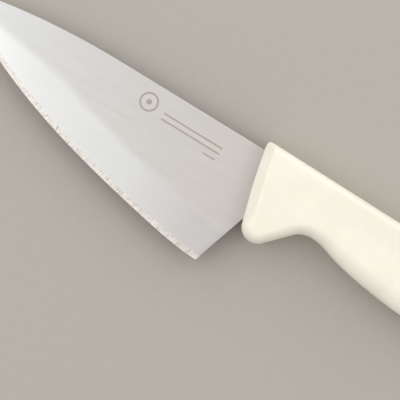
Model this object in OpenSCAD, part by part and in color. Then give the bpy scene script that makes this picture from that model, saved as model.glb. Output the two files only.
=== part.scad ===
// Wide chef knife with a blade stamped from steel sheet and a moulded plastic handle.
// It lies on its side: +X points to the tip, +Y to the cutting edge, +Z out of the blade's face.
// Millimetres. The origin is under the middle of the knife, on the surface that it lies on.

/* [Blade] */
// Length of the blade from the handle to the tip
blade_length = 150; // [135:1:180]
// Depth of the blade from the spine to the heel of the edge
heel_depth = 56; // [50:0.5:60]
// Thickness of the steel sheet
sheet_thickness = 2; // [1.6:0.1:2.4]
// How far the tip drops below the line of the spine
tip_drop = 9.6; // [6:0.1:16]
// Width of the slope that was ground above the edge
grind_width = 18.4; // [14:0.1:22]
// Width of the sharpened band along the edge
edge_width = 2.4; // [1:0.1:3.5]

/* [Tang] */
// How far the tang reaches into the handle
tang_length = 98; // [80:1:110]
// Depth of the tang where it leaves the blade
tang_depth = 16.5; // [12:0.5:17]
// Diameter of the holes that the plastic fills to lock the tang
key_hole_d = 6; // [4:0.5:8]

/* [Handle] */
// Length of the handle behind the blade
handle_length = 130; // [122:1:140]
// Thickness of the handle across its flat sides
handle_thickness = 18; // [16:0.5:22]
// How far the back of the handle stands above the spine
back_rise = 4.6; // [4:0.1:6]
// Radius of the finger guard's round end
guard_radius = 7.2; // [6.6:0.1:7.4]
// How far the nose slopes back from the blade to the flat sides
nose_slope = 4.3; // [3:0.1:5]
// Width of the rounded rim along the back
back_rim = 3.5; // [2:0.1:4]
// Width of the rounded rim along the finger side
finger_rim = 5; // [4:0.1:5.5]
// Width of the rounded rim along the belly
belly_rim = 8; // [6:0.1:8.5]

/* [Hidden] */

steel_color = [0.82, 0.81, 0.79];
plastic_color = [0.98, 0.95, 0.87];

// The row's origin, seen from the point where the spine meets the handle
middle_x = (blade_length - handle_length) / 2;
middle_y = (heel_depth - back_rise) / 2;
half_handle = handle_thickness / 2;
half_sheet = sheet_thickness / 2;

// A point on a curve with four control points, at t from 0 to 1
function curve_point(p, t) =
    pow(1 - t, 3) * p[0] + 3 * pow(1 - t, 2) * t * p[1] + 3 * (1 - t) * t * t * p[2] + pow(t, 3) * p[3];
// The same curve as a list of points, without its first
function curve(p, steps) = [for (k = [1 : steps]) curve_point(p, k / steps)];
// Points on an arc from angle a to angle b, without the first
function arc(center, r, a, b, steps) =
    [for (k = [1 : steps]) let (w = a + (b - a) * k / steps) center + r * [cos(w), sin(w)]];
function unit(v) = v / norm(v);
function mix(a, b, t) = a + (b - a) * t;

// ---- Blade, in x towards the tip and y from the spine towards the edge ----

// The heel's cut leans back from the edge, and meets the spine's line inside the handle
heel_lean = 17.6;
// Height of the blunt end at the tip, and thickness left on the sharpened edge
tip_land = 0.6;
edge_land = 0.1;
// Thickness of the steel where the sharpened band begins
shoulder = 0.5;
// Over this length the sheet gets thinner towards the tip, to this share of its half thickness
taper_length = 60;
tip_share = 0.6;
// Length of the flatter stretch of the edge behind the belly
heel_run = 20;
// The spine is straight as far as this, then falls to the tip
straight_run = 0.4 * blade_length;

spine_fall = [
    [straight_run, 0],
    [0.56 * blade_length, 0],
    [0.76 * blade_length, 0],
    [blade_length, tip_drop - tip_land / 2]
];
edge_heel = [[0, heel_depth], [6, heel_depth - 0.2], [12, heel_depth - 0.8], [heel_run, heel_depth - 2.15]];
edge_belly = [
    edge_heel[3],
    [0.49 * blade_length, 0.784 * heel_depth],
    [0.72 * blade_length, 0.628 * heel_depth],
    [blade_length, tip_drop + tip_land / 2]
];

spine_steps = 24;
edge_line = concat([edge_heel[0]], curve(edge_heel, 5), curve(edge_belly, spine_steps));
spine_line = concat([spine_fall[0]], curve(spine_fall, spine_steps));

// Height of a line of points at x
function height_at(line, x, i = 0) =
    i >= len(line) - 2 || x <= line[i + 1][0]
        ? mix(line[i][1], line[i + 1][1], (x - line[i][0]) / (line[i + 1][0] - line[i][0]))
        : height_at(line, x, i + 1);
function spine_at(x) = x <= spine_line[0][0] ? 0 : height_at(spine_line, x);
// Each station joins a point of the edge to one of the spine, and leans with the heel near the handle
lean_run = 40;
function spine_x(x) = x < lean_run ? x - heel_lean * pow(1 - x / lean_run, 2) : x;

function half_flat(x) =
    let (taper = max(0, (x - blade_length) / taper_length + 1))
    half_sheet * (1 - (1 - tip_share) * taper * taper);
// Near the tip the band, the slope and its soft upper end take these shares of the blade's depth
band_share = 0.3;
ground_share = 0.5;
soft_share = 0.08;
soft_width = 1.5;
// The steel at the band's top is at most this share of the flat's thickness
shoulder_share = 0.7;
// The slope is a little fuller than straight just below the flat
fullness = 1.03;
// Distances from the edge at which the section changes, for a blade that is h deep there
function band(h) = min(edge_width, band_share * h);
function ground(h) = min(grind_width, ground_share * h);
function steps_up(h) =
    let (b = band(h), g = ground(h), soft = min(soft_width, soft_share * h))
    [0, b, mix(b, g, 0.35), mix(b, g, 0.7), g - soft, g + soft, mix(g + soft, h, 0.5), h];
// Half thickness at each of those distances
function half_at(k, d, h, flat) =
    k == 0 ? edge_land / 2
    : k >= 5 ? flat
    : let (up = (d - band(h)) / (ground(h) - band(h)) * (k == 4 ? fullness : 1))
        mix(min(shoulder / 2, shoulder_share * flat), flat, up);

function station(edge_point) =
    let (
        top = [spine_x(edge_point[0]), spine_at(spine_x(edge_point[0]))],
        h = edge_point[1] - top[1],
        flat = half_flat(edge_point[0]),
        ds = steps_up(h),
        half = [for (k = [0 : 7]) min(flat, half_at(k, ds[k], h, flat))],
        at = [for (k = [0 : 7]) mix(edge_point, top, ds[k] / h)]
    )
    concat(
        [for (k = [0 : 7]) [at[k][0], at[k][1], -half[k]]],
        [for (k = [7 : -1 : 0]) [at[k][0], at[k][1], half[k]]]
    );

// Skin of a solid made of rings with the same number of points, closed by the two end faces given
function skin(rings, n) = [
    for (i = [0 : rings - 2], k = [0 : n - 1], half = [0, 1])
        let (a = i * n + k, b = i * n + (k + 1) % n)
        half == 0 ? [a, b, b + n] : [a, b + n, a + n]
];
// An end face of a station, as the pairs of triangles between its two sides
function end_face(first, n, turned) = [
    for (k = [0 : n / 2 - 2], half = [0, 1])
        let (a = first + k, b = first + n - 1 - k, tri = half == 0 ? [a, b, b - 1] : [a, b - 1, a + 1])
        turned ? [tri[2], tri[1], tri[0]] : tri
];

module blade_body() {
    stations = [for (p = edge_line) station(p)];
    n = len(stations[0]);
    polyhedron(
        points = [for (s = stations, p = s) p],
        faces = concat(
            skin(len(stations), n),
            end_face(0, n, false),
            end_face((len(stations) - 1) * n, n, true)
        )
    );
}

// The tang is the same sheet, narrower, with its end cut off at the corners
tang_start = 6;
tang_top = 2;
tang_end_top = 4;
tang_end_depth = 10;
corner_cut = 3;
key_holes = [0.32, 0.6, 0.88];
notch_places = [0.46, 0.74];
notch_r = 2.5;

function tang_low(s) = mix(tang_top + tang_depth, tang_end_top + tang_end_depth, s / tang_length);
function tang_high(s) = mix(tang_top, tang_end_top, s / tang_length);

module tang() {
    difference() {
        translate([0, 0, -half_sheet])
            linear_extrude(sheet_thickness)
                polygon([
                    [-tang_start, tang_high(tang_start)],
                    [corner_cut - tang_length, tang_high(tang_length)],
                    [-tang_length, tang_high(tang_length) + corner_cut],
                    [-tang_length, tang_low(tang_length) - corner_cut],
                    [corner_cut - tang_length, tang_low(tang_length)],
                    [-tang_start, tang_low(tang_start)]
                ]);
        for (share = key_holes) {
            s = share * tang_length;
            translate([-s, (tang_high(s) + tang_low(s)) / 2, 0])
                cylinder(d = key_hole_d, h = 3 * sheet_thickness, center = true, $fn = 48);
        }
        for (share = notch_places) {
            s = share * tang_length;
            translate([-s, tang_low(s), 0])
                cylinder(r = notch_r, h = 3 * sheet_thickness, center = true, $fn = 48);
        }
    }
}

module steel() {
    union() {
        blade_body();
        tang();
    }
}

module blade() {
    color(steel_color)
        translate([-middle_x, -middle_y, half_handle])
            steel();
}

// ---- Handle, in s behind the blade and y from the spine's line towards the finger side ----

// The front leans back and bows a little: its place at the spine's line, its lean and its bow
front_line = [0.45, 0.2, 0.0019];
function front_s(y) = front_line[0] + front_line[1] * y + front_line[2] * y * y;

guard_center = [15.7, 29.9];
guard_start = 162;
flank_angle = 43;
neck_s = 38;
neck_y = 21.8;
neck_radius = 11.4;
neck_center = [neck_s, neck_y + neck_radius];
hook_y = 31.6;
end_round = 7;

// Steps along each stretch of the finger side
guard_steps = 12;
bend_steps = 6;
belly_steps = 4;
swell_steps = 10;
dip_steps = 6;
hook_steps = 5;
butt_steps = 6;
end_s = handle_length - end_round;

// The finger side from the front of the guard to the butt: guard, flank, neck, belly and hook
belly_points = [[neck_s, neck_y], [43, 21.8], [45.5, 23.3], [50, 24.55]];
swell_points = [[50, 24.55], [60, 27.4], [80, 30.3], [94, 30.3]];
dip_points = [[94, 30.3], [102, 30.3], [104, 28.8], [handle_length - 18, 28.8]];
hook_points = [
    dip_points[3],
    [handle_length - 13, 28.8],
    [end_s - 4, hook_y],
    [end_s, hook_y]
];
finger_side = concat(
    [guard_center + guard_radius * [cos(guard_start), sin(guard_start)]],
    arc(guard_center, guard_radius, guard_start, flank_angle, guard_steps),
    arc(neck_center, neck_radius, -180 + flank_angle, -90, bend_steps),
    curve(belly_points, belly_steps),
    curve(swell_points, swell_steps),
    curve(dip_points, dip_steps),
    curve(hook_points, hook_steps),
    arc([end_s, hook_y - end_round], end_round, 90, 0, butt_steps)
);
count = len(finger_side);

// The back: as far along as the finger side is, straight at first, then falling to the butt
fall_start = 85;
fall_y = 1.1 - back_rise;
corner_round = 1.2;
butt_round = 6;
back_end = [handle_length, 9.5];
fall_points = [
    [fall_start, fall_y],
    [fall_start + 18, fall_y + 0.2],
    [handle_length - 16, fall_y + 2.2],
    [handle_length - butt_round, back_end[1] - butt_round]
];
// Numbers of the points where the back passes the neck, starts to fall and turns round the butt
at_neck = guard_steps + bend_steps;
at_fall = at_neck + belly_steps + swell_steps;
at_butt = count - 1 - butt_steps;
// Distance along the finger side up to point i, as far as the neck
function path_to(i) = i == 0 ? 0 : path_to(i - 1) + norm(finger_side[i] - finger_side[i - 1]);
neck_path = path_to(at_neck);
front_top = front_s(-back_rise) + corner_round * 0.3;

function back_y(s) = mix(-back_rise, fall_y, s / fall_start);
function corner_drop(s) =
    let (left = corner_round - (s - front_top))
    left <= 0 ? 0 : corner_round - sqrt(max(0, pow(corner_round, 2) - left * left));
function back_point(i) =
    i <= at_neck
        ? let (s = mix(front_top, neck_s, path_to(i) / neck_path)) [s, back_y(s) + corner_drop(s)]
    : i <= at_fall
        ? let (s = mix(neck_s, fall_start, (i - at_neck) / (at_fall - at_neck))) [s, back_y(s)]
    : i <= at_butt
        ? curve_point(fall_points, (i - at_fall) / (at_butt - at_fall))
    : let (w = 90 * (i - at_butt) / butt_steps)
        [handle_length - butt_round, back_end[1]] + butt_round * [sin(w), -cos(w)];
back_side = [for (i = [0 : count - 1]) back_point(i)];

// Directions into the plastic, square to each side
function inward(line, i, sign) =
    let (along = unit(line[min(i + 1, count - 1)] - line[max(i - 1, 0)]))
    sign * [-along[1], along[0]];
// The corner at the front of the back is too sharp to follow, so its rim starts behind it
corner_stations = 3;
function back_inward(i) = inward(back_side, max(i, corner_stations), 1);

// Across the thickness: the rim's quarter turn, then the ridge beside the steel, then the same again
rim_angles = [0, 22.5, 45, 67.5, 90];
ridge = half_sheet - 0.2;
columns = 2 * len(rim_angles) + 2;
rows = 4;
function side_of(c) = c < columns / 2 ? 1 : -1;
function angle_at(c) =
    let (k = c < columns / 2 ? c : columns - 1 - c)
    k < len(rim_angles) ? rim_angles[k] : undef;
// Share of the rim's width that is left at a column, and its height for a rim that is deep from the side
function inset(c) = is_undef(angle_at(c)) ? 0 : 1 - sin(angle_at(c));
function height(c, depth) =
    side_of(c) * (is_undef(angle_at(c)) ? ridge : half_handle - depth * (1 - cos(angle_at(c))));
function nose(z) = nose_slope * max(0, abs(z) - ridge) / (half_handle - ridge);

back_depth = 0.6 * half_handle;
finger_depth = 0.8 * half_handle;
nose_run = 12;

// The rim is narrowest round the guard, widens along the belly and narrows again to the butt
guard_rim = 0.84 * finger_rim;
end_rim = 0.8 * end_round;
guard_run = [22, 34];
belly_run = [neck_s, neck_s + 20];
end_run = [end_s - 19, end_s];
function share_of(s, run) = min(1, max(0, (s - run[0]) / (run[1] - run[0])));
function rim_width(i) =
    let (s = finger_side[i][0])
    let (grip = mix(mix(guard_rim, finger_rim, share_of(s, guard_run)), belly_rim, share_of(s, belly_run)))
    mix(grip, end_rim, share_of(s, end_run));

// The point of station i in a row from the back (0) to the finger side (rows), at a column
function handle_point(i, row, c) =
    let (
        z0 = height(c, back_depth),
        z1 = height(c, finger_depth),
        near_front = max(0, 1 - (back_side[i][0] - front_top) / nose_run),
        top = back_side[i] + back_inward(i) * back_rim * inset(c) + [nose(z0) * near_front, 0],
        low = finger_side[i] + inward(finger_side, i, -1) * rim_width(i) * inset(c),
        t = row / rows,
        z = mix(z0, z1, t),
        y = mix(back_side[i][1], finger_side[i][1], t),
        front = [front_s(y) + nose(z), y],
        p = i == 0 && row > 0 && row < rows ? front : mix(top, low, t)
    )
    [-p[0], p[1], z];

// A ring runs along the back, down one flat side, along the finger side and up the other flat side
function ring(i) = concat(
    [for (c = [0 : columns - 1]) handle_point(i, 0, c)],
    [for (row = [1 : rows - 1]) handle_point(i, row, columns - 1)],
    [for (c = [columns - 1 : -1 : 0]) handle_point(i, rows, c)],
    [for (row = [rows - 1 : -1 : 1]) handle_point(i, row, 0)]
);
ring_size = 2 * columns + 2 * (rows - 1);

// The end faces are grids: their rims are ring points, and their inner points come after all rings
function rim_index(row, c) =
    row == 0 ? c
    : c == columns - 1 ? columns + row - 1
    : row == rows ? 2 * columns + rows - 2 - c
    : ring_size - row;
function grid_index(row, c, first, inner) =
    row == 0 || row == rows || c == 0 || c == columns - 1
        ? first + rim_index(row, c)
        : inner + (row - 1) * (columns - 2) + c - 1;
function grid_points(i) =
    [for (row = [1 : rows - 1], c = [1 : columns - 2]) handle_point(i, row, c)];
function grid_faces(first, inner, turned) = [
    for (row = [0 : rows - 1], c = [0 : columns - 2], half = [0, 1])
        let (
            a = grid_index(row, c, first, inner),
            b = grid_index(row, c + 1, first, inner),
            d = grid_index(row + 1, c + 1, first, inner),
            e = grid_index(row + 1, c, first, inner),
            tri = half == 0 ? [a, b, d] : [a, d, e]
        )
        turned ? [tri[2], tri[1], tri[0]] : tri
];

module grip() {
    ring_points = [for (i = [0 : count - 1], p = ring(i)) p];
    inner = len(ring_points);
    grid_size = (rows - 1) * (columns - 2);
    polyhedron(
        points = concat(ring_points, grid_points(0), grid_points(count - 1)),
        faces = concat(
            skin(count, ring_size),
            grid_faces(0, inner, true),
            grid_faces((count - 1) * ring_size, inner + grid_size, false)
        )
    );
}

// The plastic was moulded round the steel, so it fills the tang's holes and notches
module handle() {
    color(plastic_color)
        translate([-middle_x, -middle_y, half_handle])
            difference() {
                grip();
                steel();
            }
}

blade();
handle();
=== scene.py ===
import math
import bpy
import bmesh
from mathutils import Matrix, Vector

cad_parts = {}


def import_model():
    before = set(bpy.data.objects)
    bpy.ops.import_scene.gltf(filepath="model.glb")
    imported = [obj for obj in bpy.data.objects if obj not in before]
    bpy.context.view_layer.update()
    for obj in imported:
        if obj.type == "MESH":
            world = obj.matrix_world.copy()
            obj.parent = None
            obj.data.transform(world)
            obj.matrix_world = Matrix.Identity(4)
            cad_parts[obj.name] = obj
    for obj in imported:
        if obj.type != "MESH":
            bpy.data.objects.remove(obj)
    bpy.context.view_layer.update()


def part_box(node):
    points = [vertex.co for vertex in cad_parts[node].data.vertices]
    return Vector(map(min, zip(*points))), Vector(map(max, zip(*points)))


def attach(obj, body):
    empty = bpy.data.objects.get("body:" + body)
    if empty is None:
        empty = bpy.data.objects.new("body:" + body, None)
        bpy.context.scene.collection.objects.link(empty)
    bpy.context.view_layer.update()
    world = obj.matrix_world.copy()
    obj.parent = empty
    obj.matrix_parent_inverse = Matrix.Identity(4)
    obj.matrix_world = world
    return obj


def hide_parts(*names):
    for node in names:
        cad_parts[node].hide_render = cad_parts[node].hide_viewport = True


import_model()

# Chef knife: one stamped steel blade with a hidden tang, and a cream handle moulded round it.
# Shapes are drawn in the knife's own millimetres: x runs from the handle to the tip, y from the
# line of the spine to the cutting edge, z from the middle of the sheet to the blade's left face.

mm = 0.001
bladeLow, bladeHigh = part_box("blade")
handleLow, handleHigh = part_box("handle")

bladeLength = 150.0  # from the handle to the tip
junctionX = bladeHigh[0] - bladeLength * mm
spineY = bladeLow[1]
middleZ = (handleLow[2] + handleHigh[2]) / 2
heelDepth = (bladeHigh[1] - bladeLow[1]) / mm
sheet = (bladeHigh[2] - bladeLow[2]) / mm
handleLength = (junctionX - handleLow[0]) / mm
handleThickness = (handleHigh[2] - handleLow[2]) / mm
backRise = (spineY - handleLow[1]) / mm


def world(x, y, z=0.0):
    return Vector((junctionX + x * mm, spineY + y * mm, middleZ + z * mm))


# Camera, floor and lights

studio = {
    "cameraAt": (1.8 * mm, 7.3 * mm, middleZ + 0.9),
    "cameraTurn": 211.6,  # degrees, so that the blade points up to the left
    "lens": 187.5,
    "sensorWidth": 36.0,
    "clipStart": 0.01,
    "floorSize": 4.0,
    "worldColour": (1.0, 0.99, 0.975),
    "worldStrength": 0.66,
}
# metres and watts; the low backSoftbox draws the bright line along the handle's back
softboxes = {
    "keySoftbox": {"place": (-0.95, -1.06, 0.95), "target": (0, 0, 0), "size": (2.5, 2.0),
                   "power": 14.2, "colour": (1.0, 0.985, 0.96)},
    "tipSoftbox": {"place": (1.36, -0.27, 0.85), "target": (0, 0, 0), "size": (2.2, 1.9),
                   "power": 12.0, "colour": (1.0, 0.99, 0.97)},
    "topSoftbox": {"place": (0.62, 0.46, 1.25), "target": (0.2, 0.06, 0), "size": (1.2, 1.0),
                   "power": 2.7, "colour": (1.0, 0.98, 0.955)},
    "backSoftbox": {"place": (-0.25, -1.5, 0.45), "target": (-0.03, 0, 0.01), "size": (1.2, 0.6),
                    "power": 2.2, "colour": (1.0, 0.985, 0.955)},
}


def addSoftbox(name, place, target, size, power, colour):
    bpy.ops.object.light_add(type="AREA", location=place)
    lamp = bpy.context.object
    lamp.name = name
    lamp.rotation_euler = (Vector(target) - lamp.location).to_track_quat("-Z", "Y").to_euler()
    lamp.data.shape = "RECTANGLE"
    lamp.data.size = size[0]
    lamp.data.size_y = size[1]
    lamp.data.energy = power
    lamp.data.color = colour


def makeStudio():
    turn = math.radians(studio["cameraTurn"])
    bpy.ops.object.camera_add(location=studio["cameraAt"], rotation=(0, 0, turn))
    camera = bpy.context.object
    camera.name = "camera"
    camera.data.lens = studio["lens"]
    camera.data.sensor_width = studio["sensorWidth"]
    camera.data.clip_start = studio["clipStart"]
    bpy.context.scene.camera = camera
    bpy.context.scene.view_settings.view_transform = "Standard"

    for name, values in softboxes.items():
        addSoftbox(name, **values)
    sky = bpy.context.scene.world or bpy.data.worlds.new("studioRoom")
    bpy.context.scene.world = sky
    sky.use_nodes = True
    background = sky.node_tree.nodes["Background"]
    background.inputs["Color"].default_value = (*studio["worldColour"], 1)
    background.inputs["Strength"].default_value = studio["worldStrength"]

    deselectAll()
    bpy.ops.mesh.primitive_plane_add(size=studio["floorSize"])
    floor = bpy.context.object
    floor.name = "floor"
    floor.data.materials.append(makeFloorPaper())
    print("studio ready")


# Node helpers

def newMaterial(name):
    material = bpy.data.materials.new(name)
    material.use_nodes = True
    tree = material.node_tree
    return material, tree, tree.nodes["Principled BSDF"]


def addNode(tree, kind, values=None, **settings):
    made = tree.nodes.new("ShaderNode" + kind)
    for key, value in settings.items():
        setattr(made, key, value)
    for key, value in (values or {}).items():
        made.inputs[key].default_value = value
    return made


def objectPlace(tree, scale=(1, 1, 1), turn=0.0):
    # object coordinates, turned about z in degrees and then squeezed along each axis
    place = addNode(tree, "TexCoord")
    squeeze = tuple(1 / part for part in scale)
    mapping = addNode(tree, "Mapping", {"Rotation": (0, 0, math.radians(turn)), "Scale": squeeze},
                      vector_type="TEXTURE")
    tree.links.new(place.outputs["Object"], mapping.inputs["Vector"])
    return mapping.outputs["Vector"]


def noise(tree, scale=(1, 1, 1), turn=0.0, size=100.0, detail=4.0, roughness=0.55):
    made = addNode(tree, "TexNoise", {"Scale": size, "Detail": detail, "Roughness": roughness})
    tree.links.new(objectPlace(tree, scale, turn), made.inputs["Vector"])
    return made.outputs["Fac"]


def ramp(tree, source, stops, interpolation="LINEAR"):
    # stops are (position, grey or colour)
    made = addNode(tree, "ValToRGB")
    made.color_ramp.interpolation = interpolation
    for k, (position, value) in enumerate(stops):
        if k > 1:
            made.color_ramp.elements.new(position)
        stop = made.color_ramp.elements[k]
        stop.position = position
        colour = (value, value, value) if isinstance(value, float) else value
        stop.color = (*colour, 1)
    tree.links.new(source, made.inputs["Fac"])
    return made.outputs["Color"]


def mathNode(tree, operation, a, b):
    made = addNode(tree, "Math", operation=operation)
    for k, value in enumerate((a, b)):
        if isinstance(value, (int, float)):
            made.inputs[k].default_value = value
        else:
            tree.links.new(value, made.inputs[k])
    return made.outputs["Value"]


def weigh(tree, a, b, share):
    # a's share, and the rest from b
    part = mathNode(tree, "MULTIPLY", a, share)
    rest = mathNode(tree, "MULTIPLY", b, 1 - share)
    return mathNode(tree, "ADD", part, rest)


def alongAxis(tree, axis, start, end):
    # 0 at start and 1 at end, along an axis of the object
    place = addNode(tree, "TexCoord")
    split = addNode(tree, "SeparateXYZ")
    made = addNode(tree, "MapRange", {"From Min": start, "From Max": end})
    tree.links.new(place.outputs["Object"], split.inputs["Vector"])
    tree.links.new(split.outputs[axis], made.inputs["Value"])
    return made.outputs["Result"]


def mixColours(tree, factor, a, b, blend="MIX"):
    made = addNode(tree, "Mix", data_type="RGBA", blend_type=blend)
    for key, value in ((0, factor), (6, a), (7, b)):
        if isinstance(value, (int, float)):
            made.inputs[key].default_value = value
        elif isinstance(value, tuple):
            made.inputs[key].default_value = (*value, 1)
        else:
            tree.links.new(value, made.inputs[key])
    return made.outputs[2]


def bump(tree, shader, height, strength, distance, previous=None):
    made = addNode(tree, "Bump", {"Strength": strength, "Distance": distance})
    tree.links.new(height, made.inputs["Height"])
    if previous is not None:
        tree.links.new(previous, made.inputs["Normal"])
    tree.links.new(made.outputs["Normal"], shader.inputs["Normal"])
    return made.outputs["Normal"]


def addSpecks(tree, colour, specks):
    # tiny specks over a colour, on the few cells of a pattern that a noise picks out
    cells = addNode(tree, "TexVoronoi", {"Scale": specks["size"], "Randomness": 1.0})
    tree.links.new(objectPlace(tree), cells.inputs["Vector"])
    core, rim = specks["radius"]
    dot = ramp(tree, cells.outputs["Distance"], [(core, 1.0), (rim, 0.0)])
    few = noise(tree, size=specks["fewSize"], detail=specks["fewDetail"])
    low, high = specks["few"]
    speck = mathNode(tree, "MULTIPLY", dot, ramp(tree, few, [(low, 0.0), (high, 1.0)]))
    strength = mathNode(tree, "MULTIPLY", speck, specks["strength"])
    return mixColours(tree, strength, colour, specks["colour"])


# Materials

floorFinish = {
    "colour": (0.43, 0.405, 0.37),
    "lighter": 1.03,  # how much the paper's grain brightens it
    "grainSize": 350.0,
    "roughness": 0.9,
    "shine": 0.2,
}


def makeFloorPaper():
    material, tree, shader = newMaterial("floorPaper")
    grain = noise(tree, size=floorFinish["grainSize"], detail=3.0)
    shade = floorFinish["colour"]
    lighter = tuple(c * floorFinish["lighter"] for c in shade)
    tree.links.new(ramp(tree, grain, [(0.3, shade), (0.7, lighter)]), shader.inputs["Base Color"])
    shader.inputs["Roughness"].default_value = floorFinish["roughness"]
    shader.inputs["Specular IOR Level"].default_value = floorFinish["shine"]
    return material


steelFinish = {
    "brushTurn": 2.6,  # the brush lines run a little off the spine, in degrees
    "fineBrush": (1, 60, 1),  # how much the lines are squeezed across
    "fineSize": 36.0,
    "fineShare": 0.85,
    "fineBump": (0.015, 0.02 * mm),  # strength and depth
    "broadBrush": (1, 9, 1),
    "broadSize": 24.0,
    "broadBump": (0.008, 0.03 * mm),
    "cloudSize": 20.0,
    "lineShare": 0.75,  # the rest of the tone is cloud
    "streaks": ((0.36, 0.955), (0.64, 1.0)),
    # painted reflection: these flat and ground colours run darker and warmer by the handle and brighter
    # toward the tip
    "flatByHandle": (0.814, 0.770, 0.730),
    "flatByTip": (0.840, 0.860, 0.875),
    "groundByHandle": (0.755, 0.726, 0.717),
    "groundByTip": (0.850, 0.856, 0.865),
    "groundChange": (0.06, 0.30),  # where along the blade the ground colours change
    "fullyGround": 0.14,  # the share ground away from which the slope's finish is full
    "paintedShade": (0.80, 0.785, 0.79),  # painted shade: the steel darkened beside the plastic and along the heel's cut
    "roughness": (0.305, 0.335),
    "pits": {"size": 260.0, "radius": (0.03, 0.06), "fewSize": 210.0, "fewDetail": 0.0, "few": (0.62, 0.66),
             "strength": 0.3, "colour": (0.50, 0.48, 0.46)},
}


def makeBrushedSteel():
    s = steelFinish
    material, tree, shader = newMaterial("brushedSteel")
    fine = noise(tree, s["fineBrush"], s["brushTurn"], size=s["fineSize"], detail=3.0, roughness=0.6)
    broad = noise(tree, s["broadBrush"], s["brushTurn"], size=s["broadSize"], detail=2.0)
    cloud = noise(tree, size=s["cloudSize"], detail=2.0)
    lines = weigh(tree, fine, broad, s["fineShare"])
    tone = weigh(tree, lines, cloud, s["lineShare"])

    # painted reflection: the steel is darker and warmer by the handle and brighter toward the tip; the ground
    # slope has a finer finish, and its brighter colour is partly painted reflection
    alongBlade = alongAxis(tree, "X", junctionX, bladeHigh[0])
    flat = mixColours(tree, alongBlade, s["flatByHandle"], s["flatByTip"])
    near, far = s["groundChange"]
    ground = ramp(tree, alongBlade, [(near, s["groundByHandle"]), (far, s["groundByTip"])])
    slope = addNode(tree, "Attribute", attribute_name="ground")
    onSlope = ramp(tree, slope.outputs["Fac"], [(0.0, 0.0), (s["fullyGround"], 1.0)], "EASE")
    colour = mixColours(tree, onSlope, flat, ground)
    colour = mixColours(tree, 1.0, colour, ramp(tree, tone, s["streaks"]), "MULTIPLY")
    # painted shade: the steel is darkened beside the plastic and along the heel's cut
    beside = addNode(tree, "Attribute", attribute_name="paintedShade")
    colour = mixColours(tree, beside.outputs["Fac"], colour, s["paintedShade"], "MULTIPLY")
    colour = addSpecks(tree, colour, s["pits"])
    tree.links.new(colour, shader.inputs["Base Color"])
    shader.inputs["Metallic"].default_value = 1.0
    low, high = s["roughness"]
    tree.links.new(ramp(tree, lines, [(0.38, low), (0.62, high)]), shader.inputs["Roughness"])
    first = bump(tree, shader, fine, *s["fineBump"])
    bump(tree, shader, broad, *s["broadBump"], first)
    return material


bandFinish = {
    "grindTurn": 72.0,  # the stone's marks run across the edge
    "grindMarks": (1, 6, 1),
    "markSize": 500.0,
    "markShare": 0.65,  # the rest of the tone is patches
    "markBump": (0.35, 0.03 * mm),
    "patchSize": 420.0,
    "darker": (0.52, 0.48, 0.45),
    "lighter": (0.885, 0.845, 0.80),
    "roughness": (0.30, 0.50),
}


def makeSharpenedBand():
    s = bandFinish
    material, tree, shader = newMaterial("sharpenedBand")
    marks = noise(tree, s["grindMarks"], s["grindTurn"], size=s["markSize"], detail=2.0, roughness=0.7)
    patches = noise(tree, size=s["patchSize"], detail=3.0, roughness=0.7)
    tone = weigh(tree, marks, patches, s["markShare"])
    colour = ramp(tree, tone, [(0.34, s["darker"]), (0.56, s["lighter"])])
    tree.links.new(colour, shader.inputs["Base Color"])
    shader.inputs["Metallic"].default_value = 1.0
    low, high = s["roughness"]
    tree.links.new(ramp(tree, marks, [(0.3, low), (0.7, high)]), shader.inputs["Roughness"])
    bump(tree, shader, marks, *s["markBump"])
    return material


etchFinish = {
    "biteSize": 2600.0,  # the fine tooth that the etch leaves
    "biteShare": 0.6,  # the rest of the tone is brush lines
    "biteBump": (0.3, 0.01 * mm),
    "lineSize": 45.0,
    "darker": (0.40, 0.353, 0.31),
    "lighter": (0.51, 0.46, 0.41),
    "metal": 0.85,
    "roughness": (0.50, 0.64),
}


def makeEtchedMark():
    s = etchFinish
    material, tree, shader = newMaterial("etchedMark")
    bite = noise(tree, size=s["biteSize"], detail=3.0)
    lines = noise(tree, steelFinish["fineBrush"], steelFinish["brushTurn"], size=s["lineSize"], detail=4.0)
    tone = weigh(tree, bite, lines, s["biteShare"])
    colour = ramp(tree, tone, [(0.35, s["darker"]), (0.65, s["lighter"])])
    tree.links.new(colour, shader.inputs["Base Color"])
    shader.inputs["Metallic"].default_value = s["metal"]
    low, high = s["roughness"]
    tree.links.new(ramp(tree, bite, [(0.3, low), (0.7, high)]), shader.inputs["Roughness"])
    bump(tree, shader, bite, *s["biteBump"])
    return material


plasticFinish = {
    "cloudSize": 40.0,
    "darker": (0.853, 0.822, 0.709),
    "lighter": (0.894, 0.868, 0.761),
    "grains": {"size": 330.0, "radius": (0.04, 0.08), "fewSize": 120.0, "fewDetail": 1.0, "few": (0.62, 0.67),
               "strength": 0.25, "colour": (0.50, 0.42, 0.30)},
    "textureSize": 1900.0,  # the mould's fine grain
    "textureShare": 0.5,  # the rest of the wear is scuffs
    "textureBump": (0.25, 0.02 * mm),
    "scuffs": (1, 25, 1),
    "scuffTurn": 14.0,
    "scuffSize": 60.0,
    "scuffBump": (0.06, 0.02 * mm),
    "roughness": (0.38, 0.50),
    "refraction": 1.49,
    "milkiness": 0.3,
    "milkyReach": (1.0, 0.6, 0.3),  # for red, green and blue light
    "milkyDepth": 2.0 * mm,
}


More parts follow.
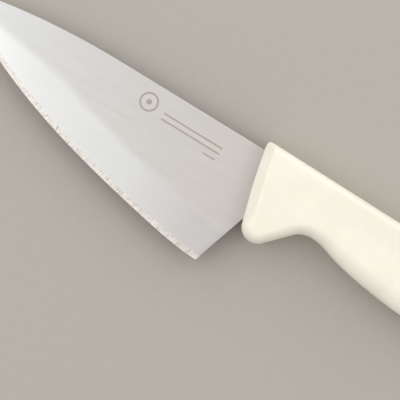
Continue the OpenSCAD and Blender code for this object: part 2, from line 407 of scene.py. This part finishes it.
def makeCreamPlastic():
    s = plasticFinish
    material, tree, shader = newMaterial("creamPlastic")
    cloud = noise(tree, size=s["cloudSize"], detail=3.0)
    colour = ramp(tree, cloud, [(0.35, s["darker"]), (0.65, s["lighter"])])
    colour = addSpecks(tree, colour, s["grains"])
    tree.links.new(colour, shader.inputs["Base Color"])

    texture = noise(tree, size=s["textureSize"], detail=3.0, roughness=0.6)
    scuffs = noise(tree, s["scuffs"], s["scuffTurn"], size=s["scuffSize"], detail=3.0)
    wear = weigh(tree, texture, scuffs, s["textureShare"])
    low, high = s["roughness"]
    tree.links.new(ramp(tree, wear, [(0.35, low), (0.65, high)]), shader.inputs["Roughness"])
    shader.inputs["IOR"].default_value = s["refraction"]
    shader.inputs["Subsurface Weight"].default_value = s["milkiness"]
    shader.inputs["Subsurface Radius"].default_value = s["milkyReach"]
    shader.inputs["Subsurface Scale"].default_value = s["milkyDepth"]
    first = bump(tree, shader, texture, *s["textureBump"])
    bump(tree, shader, scuffs, *s["scuffBump"], first)
    return material


# Drawing tools

def mix(a, b, share):
    return a + (b - a) * share


def curve(controls, steps):
    # points on a four-point curve, without its first
    a, b, c, d = (Vector(p) for p in controls)
    points = []
    for k in range(1, steps + 1):
        t = k / steps
        points.append(a * (1 - t) ** 3 + b * 3 * t * (1 - t) ** 2 + c * 3 * t * t * (1 - t) + d * t ** 3)
    return points


def arc(center, radius, fromAngle, toAngle, steps):
    # points on an arc in degrees, without its first
    points = []
    for k in range(1, steps + 1):
        angle = math.radians(mix(fromAngle, toAngle, k / steps))
        points.append(Vector(center) + radius * Vector((math.cos(angle), math.sin(angle))))
    return points


def deselectAll():
    if bpy.context.object and bpy.context.object.mode != "OBJECT":
        bpy.ops.object.mode_set(mode="OBJECT")
    bpy.ops.object.select_all(action="DESELECT")


def startPiece(name):
    # an empty mesh in edit mode, ready for drawing
    deselectAll()
    bpy.ops.mesh.primitive_plane_add(size=mm)
    piece = bpy.context.object
    piece.name = name
    piece.data.name = name
    bpy.ops.object.mode_set(mode="EDIT")
    bpy.ops.mesh.select_mode(type="VERT")
    bpy.ops.mesh.delete(type="VERT")
    return piece


def pick(piece, kind, test):
    # in edit mode: selects the vertices, edges or faces that pass the test, and nothing else
    bpy.ops.mesh.select_mode(type=kind)
    bpy.ops.mesh.select_all(action="DESELECT")
    mesh = bmesh.from_edit_mesh(piece.data)
    mesh.normal_update()
    items = {"VERT": mesh.verts, "EDGE": mesh.edges, "FACE": mesh.faces}[kind]
    for k, item in enumerate(items):
        item.select = test(item, k)
    if kind == "VERT":
        mesh.select_flush(True)
    else:
        mesh.select_flush_mode()
    bmesh.update_edit_mesh(piece.data)


def drawLine(piece, points, closed=False):
    # one vertex, then extruded from point to point
    bpy.ops.mesh.select_mode(type="VERT")
    bpy.ops.mesh.select_all(action="DESELECT")
    bpy.ops.mesh.primitive_plane_add(size=mm, location=points[0])
    bpy.ops.mesh.merge(type="CENTER")
    for here, there in zip(points, points[1:]):
        bpy.ops.mesh.extrude_vertices_move(TRANSFORM_OT_translate={"value": there - here})
    if closed:
        last = len(bmesh.from_edit_mesh(piece.data).verts) - 1
        pick(piece, "VERT", lambda v, k: k in (last, last - len(points) + 1))
        bpy.ops.mesh.edge_face_add()


def bridgeNewest(piece, count):
    # the last two lines drawn, of count points each, get a strip of faces between them
    first = len(bmesh.from_edit_mesh(piece.data).verts) - 2 * count
    pick(piece, "VERT", lambda v, k: k >= first)
    bpy.ops.mesh.bridge_edge_loops()


def mirrorHalf():
    # the other half, across the middle of the knife's thickness
    bpy.ops.mesh.select_all(action="SELECT")
    bpy.ops.mesh.duplicate()
    bpy.ops.transform.resize(value=(1, 1, -1), center_override=(0, 0, middleZ))
    bpy.ops.mesh.select_all(action="SELECT")


def cleanMesh(distance):
    bpy.ops.mesh.select_all(action="SELECT")
    bpy.ops.mesh.remove_doubles(threshold=distance)
    bpy.ops.mesh.normals_make_consistent(inside=False)


# Handle: a lattice of lines along it, from the flat side round the rim to the middle

handle = {
    "frontLean": (0.45, 0.2, 0.0019),  # the nose line leans back and bows a little
    "noseSlope": 4.3,
    "noseRun": 12.0,  # the slope dies out this far along the back
    "noseCrease": 0.35,
    "creaseReach": 0.3,  # how near the slope's end an edge has to be to take the crease
    "creaseBelow": 2.0,  # and how far below the line of the neck
    "ridge": sheet / 2 - 0.2,  # half the straight strip beside the steel
    "backRim": 3.5,
    "guardRim": 4.2,
    "fingerRim": 5.0,
    "bellyRim": 8.0,
    "endRim": 5.6,
    "guardToFinger": (22, 34),  # where the rim widens behind the guard
    "bellyRun": 20.0,  # how far it takes to widen behind the neck
    "endRun": 26.0,  # and where it narrows again, before the butt
    "backDepth": 0.6,  # how deep the rims curve down, as shares of half the thickness
    "fingerDepth": 0.8,
    "rimAngles": (0, 12, 26, 40, 55, 70, 90),
    "guardCenter": (15.7, 29.9),
    "guardRadius": 7.2,
    "guardArc": (162, 43),
    "guardSteps": 14,
    "neckAt": (38.0, 21.8),
    "neckRadius": 11.4,
    "neckArc": (-137, -90),
    "neckSteps": 7,
    "bellyCurves": (  # each has two control points, an end and a number of steps
        ((43, 21.8), (45.5, 23.3), (50, 24.55), 5),
        ((60, 27.4), (80, 30.3), (94, 30.3), 12),
        ((102, 30.3), (104, 28.8), (112, 28.8), 7),
    ),
    "hookControls": ((117, 28.8), (119, 31.6)),
    "hookSteps": 6,
    "hookY": 31.6,
    "endRound": 7.0,
    "endSteps": 7,
    "fallStart": 85.0,  # the back runs straight to here, and has come down by the drop
    "fallDrop": 1.1,
    "fallControl": (18, 0.2),  # on from the start of the fall
    "buttControl": (16, 2.2),  # back from the butt
    "buttRound": 6.0,
    "buttY": 9.5,
    "buttSteps": 6,
    "cornerRound": 1.2,
    "cornerShare": 0.3,  # the round starts this share of its radius behind the nose line
    "cornerPoints": 3,  # the back's first points, which take the next one's direction
    "seamProud": 0.05,  # how far the mould's parting line stands out
    "seamFoot": 0.3,  # half its width at the foot, and on top
    "seamTop": 0.16,
    "hollow": 0.8,  # depth of the shallow hollow in the flat sides
    "hollowStart": 42.0,
    "hollowRise": 26.0,
    "hollowEnd": 8.0,  # before the butt
    "hollowFall": 20.0,
    "hollowLean": 0.85,  # below 1 its deepest line lies nearer the back
    "rows": 6,  # of the lattice, from the back to the finger side
    "flatReach": 0.05,  # how near the top a point has to be to lie on the flat side
    "weld": 0.01,  # points closer together than this become one
    "softAngle": 40,  # in degrees: edges that turn less are shaded smooth
}
halfThickness = handleThickness / 2


def handleFinger():
    # from the front of the guard round the guard, neck, belly and hook to the butt
    h = handle
    neckX, neckY = h["neckAt"]
    endX = handleLength - h["endRound"]
    front, back = h["guardArc"]
    points = arc(h["guardCenter"], h["guardRadius"], front, front, 1)
    points += arc(h["guardCenter"], h["guardRadius"], front, back, h["guardSteps"])
    points += arc((neckX, neckY + h["neckRadius"]), h["neckRadius"], *h["neckArc"], h["neckSteps"])
    start = h["neckAt"]
    for first, second, end, steps in h["bellyCurves"]:
        points += curve([start, first, second, end], steps)
        start = end
    points += curve([start, *h["hookControls"], (endX, h["hookY"])], h["hookSteps"])
    points += arc((endX, h["hookY"] - h["endRound"]), h["endRound"], 90, 0, h["endSteps"])
    return points


def frontX(y):
    a, b, c = handle["frontLean"]
    return a + b * y + c * y * y


def cornerDrop(run):
    # how much the round corner at the nose lowers the back, this far behind its start
    radius = handle["cornerRound"]
    left = radius - run
    if left <= 0:
        return 0
    return radius - math.sqrt(max(0, radius ** 2 - left * left))


def handleBack(finger):
    # as many points as the finger side has: straight as far as that side's second belly curve goes,
    # then falling to the butt
    h = handle
    neckCount = h["guardSteps"] + h["neckSteps"]
    swellCount = sum(stretch[-1] for stretch in h["bellyCurves"][:2])
    fallCount = len(finger) - 1 - neckCount - swellCount - h["buttSteps"]
    fallStart, fallY = h["fallStart"], h["fallDrop"] - backRise
    start = frontX(-backRise) + h["cornerShare"] * h["cornerRound"]
    neckX = h["neckAt"][0]
    reach = [0.0]
    for a, b in zip(finger, finger[1:neckCount + 1]):
        reach.append(reach[-1] + (b - a).length)
    along = [mix(start, neckX, r / reach[-1]) for r in reach]
    along += [mix(neckX, fallStart, k / swellCount) for k in range(1, swellCount + 1)]
    points = [Vector((x, mix(-backRise, fallY, x / fallStart) + cornerDrop(x - start))) for x in along]
    on, down = h["fallControl"]
    before, lower = h["buttControl"]
    buttX = handleLength - h["buttRound"]
    controls = [(fallStart, fallY), (fallStart + on, fallY + down), (handleLength - before, fallY + lower),
                (buttX, h["buttY"] - h["buttRound"])]
    points += curve(controls, fallCount)
    points += arc((buttX, h["buttY"]), h["buttRound"], -90, 0, h["buttSteps"])
    return points


def squareTo(line, k, side):
    # direction into the plastic at point k of a line
    along = (line[min(k + 1, len(line) - 1)] - line[max(k - 1, 0)]).normalized()
    return side * Vector((-along.y, along.x))


def shareOf(x, start, end):
    return min(1, max(0, (x - start) / (end - start)))


def rimWidth(x):
    # narrowest round the guard, widest along the belly
    h = handle
    neckX = h["neckAt"][0]
    width = mix(h["guardRim"], h["fingerRim"], shareOf(x, *h["guardToFinger"]))
    width = mix(width, h["bellyRim"], shareOf(x, neckX, neckX + h["bellyRun"]))
    return mix(width, h["endRim"], shareOf(x, handleLength - h["endRun"], handleLength - h["endRound"]))


def noseBack(z):
    return handle["noseSlope"] * max(0, abs(z) - handle["ridge"]) / (halfThickness - handle["ridge"])


def handlePoint(back, finger, k, row, level):
    # level is the share of the rim's width that is left, its two heights, and the seam's gap
    h = handle
    share, zBack, zFinger, gap = level
    nearFront = max(0, 1 - (back[k].x - back[0].x) / h["noseRun"])
    top = back[k] + squareTo(back, max(k, h["cornerPoints"]), 1) * (h["backRim"] * share + gap)
    top = top + Vector((noseBack(zBack) * nearFront, 0))
    low = finger[k] + squareTo(finger, k, -1) * (rimWidth(finger[k].x) * share + gap)
    t = row / h["rows"]
    z = mix(zBack, zFinger, t)
    y = mix(back[k].y, finger[k].y, t)
    place = mix(top, low, t)
    if k == 0 and 0 < t < 1:
        place = Vector((frontX(y) + noseBack(z) + gap, y))
    return world(-place.x, place.y, z)


def handleLevels():
    # all but the parting line keep back by as much as it stands out
    h = handle
    proud = h["seamProud"]
    levels = []
    for angle in h["rimAngles"]:
        turn = math.radians(angle)
        fall = 1 - math.cos(turn)
        zBack = halfThickness - h["backDepth"] * halfThickness * fall
        zFinger = halfThickness - h["fingerDepth"] * halfThickness * fall
        levels.append((1 - math.sin(turn), zBack, zFinger, proud))
    levels.append((0, h["ridge"], h["ridge"], proud))
    levels.append((0, h["seamFoot"], h["seamFoot"], proud))
    levels.append((0, h["seamTop"], h["seamTop"], 0))
    levels.append((0, 0, 0, 0))
    return levels


def hollowAt(x, share):
    # the flat sides sink a little between the rims, from the neck backwards
    h = handle
    start = min(1, max(0, (x - h["hollowStart"]) / h["hollowRise"]))
    end = min(1, max(0, (handleLength - h["hollowEnd"] - x) / h["hollowFall"]))
    across = math.sin(math.pi * share ** h["hollowLean"]) ** 2
    return h["hollow"] * across * (start * start * (3 - 2 * start)) * end


def onNose(place):
    # true on the line where the nose's slope ends at the flat side, above the guard
    y = (place.y - spineY) / mm
    x = (junctionX - place.x) / mm
    fromSlope = abs(x - frontX(y) - handle["noseSlope"] - handle["seamProud"])
    return y < handle["neckAt"][1] + handle["creaseBelow"] and fromSlope < handle["creaseReach"]


def makeHandle():
    finger = handleFinger()
    back = handleBack(finger)
    last = len(back) - 1
    rows = handle["rows"]
    weld = handle["weld"] * mm
    piece = startPiece("plasticHandle")

    levels = handleLevels()
    for n, level in enumerate(levels):
        ring = [handlePoint(back, finger, k, 0, level) for k in range(last + 1)]
        ring += [handlePoint(back, finger, last, row, level) for row in range(1, rows)]
        ring += [handlePoint(back, finger, k, rows, level) for k in range(last, -1, -1)]
        ring += [handlePoint(back, finger, 0, row, level) for row in range(rows - 1, 0, -1)]
        drawLine(piece, ring, closed=True)
        if n:
            bridgeNewest(piece, len(ring))

    for row in range(rows + 1):
        line = [handlePoint(back, finger, k, row, levels[0]) for k in range(last + 1)]
        if 0 < row < rows:
            for k in range(1, last):
                sink = hollowAt(mix(back[k].x, finger[k].x, row / rows), row / rows)
                line[k].z -= sink * mm
        drawLine(piece, line)
        if row:
            bridgeNewest(piece, len(line))
    cleanMesh(weld)

    # the nose meets the flat side in a fairly crisp line
    topZ = handleHigh[2] - handle["flatReach"] * mm
    pick(piece, "EDGE", lambda e, k: all(v.co.z > topZ and onNose(v.co) for v in e.verts))
    bpy.ops.transform.edge_crease(value=handle["noseCrease"])
    mirrorHalf()
    cleanMesh(weld)
    bpy.ops.object.mode_set(mode="OBJECT")

    smooth = piece.modifiers.new("smooth", "SUBSURF")
    smooth.levels = 2
    smooth.render_levels = 2
    bpy.ops.object.modifier_apply(modifier="smooth")
    bpy.ops.object.shade_smooth_by_angle(angle=math.radians(handle["softAngle"]))
    piece.data.materials.append(makeCreamPlastic())
    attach(piece, "root")
    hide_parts("handle")
    print("handle ready:", len(piece.data.polygons), "faces")


# Blade: lines along it at set distances from the edge, leaning with the heel

blade = {
    "straightShare": 0.4,  # of the spine, before it falls to the tip
    "spineControls": (0.56, 0.76),  # shares of the blade's length
    "spineSteps": 48,
    "heelCurve": ((0, 0), (6, 0.2), (12, 0.8), (20, 2.15)),  # x, and the rise above the heel
    "heelSteps": 8,
    "bellyControls": ((0.49, 0.784), (0.72, 0.628)),  # shares of the length and the heel's depth
    "bellySteps": 44,
    "heelLean": 17.6,
    "leanRun": 40.0,
    "tipDrop": 9.6,
    "tipLand": 0.6,
    "edgeLand": 0.05,  # half the thickness that is left on the sharp edge
    "shoulder": 0.25,  # half the thickness where the sharpened band starts
    "bandMargin": 0.03,  # a face this much thinner than the shoulder belongs to the band
    "taperLength": 60.0,  # the sheet thins over this much of the tip, to this share
    "tipShare": 0.6,
    "bandWidth": 2.4,
    "bandShare": 0.3,  # the most that each zone takes of the depth, near the tip
    "grindWidth": 18.4,
    "grindShare": 0.5,
    "softWidth": 1.5,  # half the width of the soft bend where the ground slope ends
    "softShare": 0.08,
    "bendStep": 0.3,  # the narrow strip that holds each bend in shape
    "bendShare": 0.01,
    "slopeLines": (0.3, 0.6),
    "flatLines": (0.35, 0.7),
    "cornerRound": 0.13,
    "cornerFrom": 0.4,  # half the thickness from which the cut corners are round
    "weld": 0.001,
    "softAngle": 20,
    "jointRun": 9.0,  # painted shade darkens the steel this far from the plastic
    "jointFall": 1.5,
    "heelRun": 2.4,  # and, at the strength below, this far from the heel's cut
    "heelPaintedShade": 0.5,
}
tang = {
    "length": 98.0,
    "start": 9.0,
    "top": 2.0,
    "endTop": 4.0,
    "depth": 16.5,
    "endDepth": 10.0,
    "inset": 0.02,  # its faces lie this far inside the sheet's
    "cornerCut": 3.0,
    "holeRadius": 3.0,
    "holes": (0.32, 0.6, 0.88),  # shares of the tang's length
    "notchRadius": 2.5,
    "notches": (0.46, 0.74),
    "cutDepth": 6.0,
    "cutSides": 48,
}


def bladeSpine():
    b = blade
    fall = [(b["straightShare"] * bladeLength, 0)]
    fall += [(share * bladeLength, 0) for share in b["spineControls"]]
    fall.append((bladeLength, b["tipDrop"] - b["tipLand"] / 2))
    return [Vector(fall[0])] + curve(fall, b["spineSteps"])


def bladeEdge():
    b = blade
    heel = [(x, heelDepth - rise) for x, rise in b["heelCurve"]]
    belly = [heel[-1]]
    belly += [(along * bladeLength, down * heelDepth) for along, down in b["bellyControls"]]
    belly.append((bladeLength, b["tipDrop"] + b["tipLand"] / 2))
    return [Vector(heel[0])] + curve(heel, b["heelSteps"]) + curve(belly, b["bellySteps"])


def spineHeight(spine, x):
    if x <= spine[0].x:
        return 0.0
    for a, b in zip(spine, spine[1:]):
        if x <= b.x:
            return mix(a.y, b.y, (x - a.x) / (b.x - a.x))
    return spine[-1].y


def halfFlat(x):
    run = max(0, (x - bladeLength) / blade["taperLength"] + 1)
    return sheet / 2 * (1 - (1 - blade["tipShare"]) * run * run)


def halfAt(distance, depth, x):
    # half the thickness at a distance from the edge, on a blade that is depth deep there
    band, ground, soft = bladeZones(depth)
    flat = halfFlat(x)
    if distance <= band:
        return mix(blade["edgeLand"], blade["shoulder"], distance / band)
    below = (ground - distance) / (ground - band)
    width = soft / (ground - band)
    if below < -width:
        below = 0.0
    elif below < width:
        below = (below + width) ** 2 / (4 * width)
    return flat - (flat - blade["shoulder"]) * below


def bladeZones(depth):
    # how far from the edge the sharpened band and the ground slope reach, and half the soft bend
    b = blade
    band = min(b["bandWidth"], b["bandShare"] * depth)
    ground = min(b["grindWidth"], b["grindShare"] * depth)
    soft = min(b["softWidth"], b["softShare"] * depth)
    return band, ground, soft


def bladeDistances(depth):
    # the lines' distances from the edge, closest together at the bends
    band, ground, soft = bladeZones(depth)
    step = min(blade["bendStep"], blade["bendShare"] * depth)
    top = ground + soft
    slope = [mix(band, ground, share) for share in blade["slopeLines"]]
    bend = [ground - soft, ground - soft / 2, ground, ground + soft / 2, top, top + step]
    flat = [mix(top, depth, share) for share in blade["flatLines"]]
    return [0, band, band + step] + slope + bend + flat + [depth]


def makeBlade():
    spine, edge = bladeSpine(), bladeEdge()
    piece = startPiece("steelBlade")
    lines = [[] for _ in bladeDistances(heelDepth)]
    for low in edge:
        lean = max(0, 1 - low.x / blade["leanRun"])
        topX = low.x - blade["heelLean"] * lean * lean
        top = Vector((topX, spineHeight(spine, topX)))
        depth = low.y - top.y
        for line, distance in zip(lines, bladeDistances(depth)):
            place = mix(low, top, distance / depth)
            line.append(world(place.x, place.y, halfAt(distance, depth, low.x)))
    for n, line in enumerate(lines):
        drawLine(piece, line)
        if n:
            bridgeNewest(piece, len(line))
    cleanMesh(blade["weld"] * mm)
    mirrorHalf()

    # the cut round the outline, then its sharp corners taken off along the spine and heel
    bpy.ops.mesh.select_mode(type="EDGE")
    bpy.ops.mesh.select_all(action="DESELECT")
    bpy.ops.mesh.select_non_manifold(extend=False, use_wire=False, use_boundary=True, use_multi_face=False,
                                     use_non_contiguous=False, use_verts=False)
    bpy.ops.mesh.bridge_edge_loops()
    bpy.ops.mesh.select_all(action="SELECT")
    bpy.ops.mesh.normals_make_consistent(inside=False)
    pick(piece, "EDGE", isCutCorner)
    bpy.ops.mesh.bevel(offset=blade["cornerRound"] * mm, segments=2, affect="EDGES")
    bpy.ops.object.mode_set(mode="OBJECT")
    combine(piece, makeTang(), "UNION")
    markGroundAndShade(piece)

    bpy.ops.object.shade_smooth_by_angle(angle=math.radians(blade["softAngle"]))
    piece.data.materials.append(makeBrushedSteel())
    piece.data.materials.append(makeSharpenedBand())
    bpy.ops.object.mode_set(mode="EDIT")
    pick(piece, "FACE", isBand)
    piece.active_material_index = 1
    bpy.ops.object.material_slot_assign()
    bpy.ops.object.mode_set(mode="OBJECT")
    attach(piece, "root")
    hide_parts("blade")
    print("blade ready:", len(piece.data.polygons), "faces")


def isCutCorner(edge, k):
    # a corner between a face of the sheet and the cut round it, where the steel isn't thin
    if len(edge.link_faces) != 2 or abs(edge.verts[0].co.z - middleZ) < blade["cornerFrom"] * mm:
        return False
    if max(v.co.x for v in edge.verts) > bladeHigh[0] - blade["tipLand"] * mm:
        return False
    flatness = [abs(face.normal.z) for face in edge.link_faces]
    return min(flatness) < 0.5 < max(flatness)


def isBand(face, k):
    # a face that lies between the edge and the shoulder, and nearly flat
    inside = (blade["shoulder"] - blade["bandMargin"]) * mm
    nearlyFlat = abs(face.normal.z) > 0.9
    return nearlyFlat and abs(face.calc_center_median().z - middleZ) < inside


def makeTang():
    t = tang
    piece = startPiece("tang")

    def low(s):
        return mix(t["top"] + t["depth"], t["endTop"] + t["endDepth"], s / t["length"])

    def high(s):
        return mix(t["top"], t["endTop"], s / t["length"])

    end, cut, half = t["length"], t["cornerCut"], sheet / 2 - t["inset"]
    outline = [(t["start"], high(t["start"])), (end - cut, high(end)), (end, high(end) + cut),
               (end, low(end) - cut), (end - cut, low(end)), (t["start"], low(t["start"]))]
    drawLine(piece, [world(-s, y, -half) for s, y in outline], closed=True)
    bpy.ops.mesh.select_all(action="SELECT")
    bpy.ops.mesh.edge_face_add()
    bpy.ops.mesh.extrude_region_move(TRANSFORM_OT_translate={"value": (0, 0, 2 * half * mm)})
    cleanMesh(blade["weld"] * mm)
    bpy.ops.object.mode_set(mode="OBJECT")

    cuts = [(share, t["holeRadius"], (high(share * end) + low(share * end)) / 2) for share in t["holes"]]
    cuts += [(share, t["notchRadius"], low(share * end)) for share in t["notches"]]
    for share, radius, y in cuts:
        deselectAll()
        bpy.ops.mesh.primitive_cylinder_add(vertices=t["cutSides"], radius=radius * mm,
                                            depth=t["cutDepth"] * mm, location=world(-share * end, y))
        combine(piece, bpy.context.object, "DIFFERENCE")
    return piece


def combine(piece, tool, operation):
    deselectAll()
    bpy.context.view_layer.objects.active = piece
    piece.select_set(True)
    trim = piece.modifiers.new("trim", "BOOLEAN")
    trim.operation = operation
    trim.solver = "EXACT"
    trim.object = tool
    bpy.ops.object.modifier_apply(modifier="trim")
    bpy.data.objects.remove(tool)


def markGroundAndShade(piece):
    # "ground": how far each point was ground below the sheet's face
    # the painted shade mask: 1 beside the plastic, and less along the heel's cut
    b = blade
    ground, paintedShade = [], []
    for vertex in piece.data.vertices:
        x, y = (vertex.co.x - junctionX) / mm, (vertex.co.y - spineY) / mm
        ground.append(max(0, 1 - abs(vertex.co.z - middleZ) / mm / halfFlat(x)))
        # painted shade, fading away from the plastic and from the heel's cut
        fromJoint = max(0, x + frontX(y))
        fromHeel = x + b["heelLean"] * (1 - y / heelDepth)
        joint = max(0, 1 - fromJoint / b["jointRun"]) ** b["jointFall"]
        heel = b["heelPaintedShade"] * max(0, 1 - fromHeel / b["heelRun"])
        paintedShade.append(max(joint, heel))
    for name, values in (("ground", ground), ("paintedShade", paintedShade)):
        layer = piece.data.attributes.new(name, "FLOAT", "POINT")
        layer.data.foreach_set("value", values)


# Etched mark: a plain ring with a dot, and plain lines

motif = {
    "center": (52.7, 8.4),
    "ring": (4.3, 3.45),  # outer and inner radius
    "ringSides": 96,
    "dot": 1.25,
    "dotSides": 48,
    "lines": ((15.0, 44.5, 9.2, 0.75), (15.0, 44.5, 11.9, 0.75), (15.5, 21.6, 15.0, 0.6)),  # x, x, y, width
    "depth": 0.02,
    "proud": 0.006,
    "cornerRound": 0.18,
    "sharpCorner": 1.0,  # in radians: the ends of the lines turn more than this, the round shapes less
    "weld": 0.0001,
    "softAngle": 30,
}


def isLineCorner(edge, k):
    # an upright edge on a corner of one of the lines
    height = abs((edge.verts[0].co - edge.verts[1].co).z)
    if len(edge.link_faces) != 2 or height <= motif["depth"] * mm / 2:
        return False
    return edge.calc_face_angle(0) > motif["sharpCorner"]


def makeMotif():
    depth = motif["depth"]
    top = sheet / 2 + motif["proud"]
    lift = Vector((0, 0, depth * mm))
    center = world(*motif["center"], top - depth)
    outer, inner = motif["ring"]
    ratio = inner / outer
    piece = startPiece("etchedMotif")
    bpy.ops.mesh.primitive_circle_add(vertices=motif["ringSides"], radius=outer * mm, location=center)
    bpy.ops.mesh.extrude_edges_move()
    bpy.ops.transform.resize(value=(ratio, ratio, 1), center_override=center)
    bpy.ops.mesh.select_all(action="SELECT")
    bpy.ops.mesh.extrude_region_move(TRANSFORM_OT_translate={"value": lift})
    bpy.ops.mesh.primitive_cylinder_add(vertices=motif["dotSides"], radius=motif["dot"] * mm,
                                        depth=depth * mm, location=center + lift / 2)
    for start, end, y, width in motif["lines"]:
        place = world((start + end) / 2, y, top - depth / 2)
        bpy.ops.mesh.primitive_cube_add(size=1, location=place,
                                        scale=((end - start) * mm, width * mm, depth * mm))
    cleanMesh(motif["weld"] * mm)
    pick(piece, "EDGE", isLineCorner)
    bpy.ops.mesh.bevel(offset=motif["cornerRound"] * mm, segments=4, affect="EDGES")
    bpy.ops.object.mode_set(mode="OBJECT")
    bpy.ops.object.shade_smooth_by_angle(angle=math.radians(motif["softAngle"]))
    piece.data.materials.append(makeEtchedMark())
    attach(piece, "root")
    print("etched mark ready")


makeStudio()
makeHandle()
makeBlade()
makeMotif()
deselectAll()
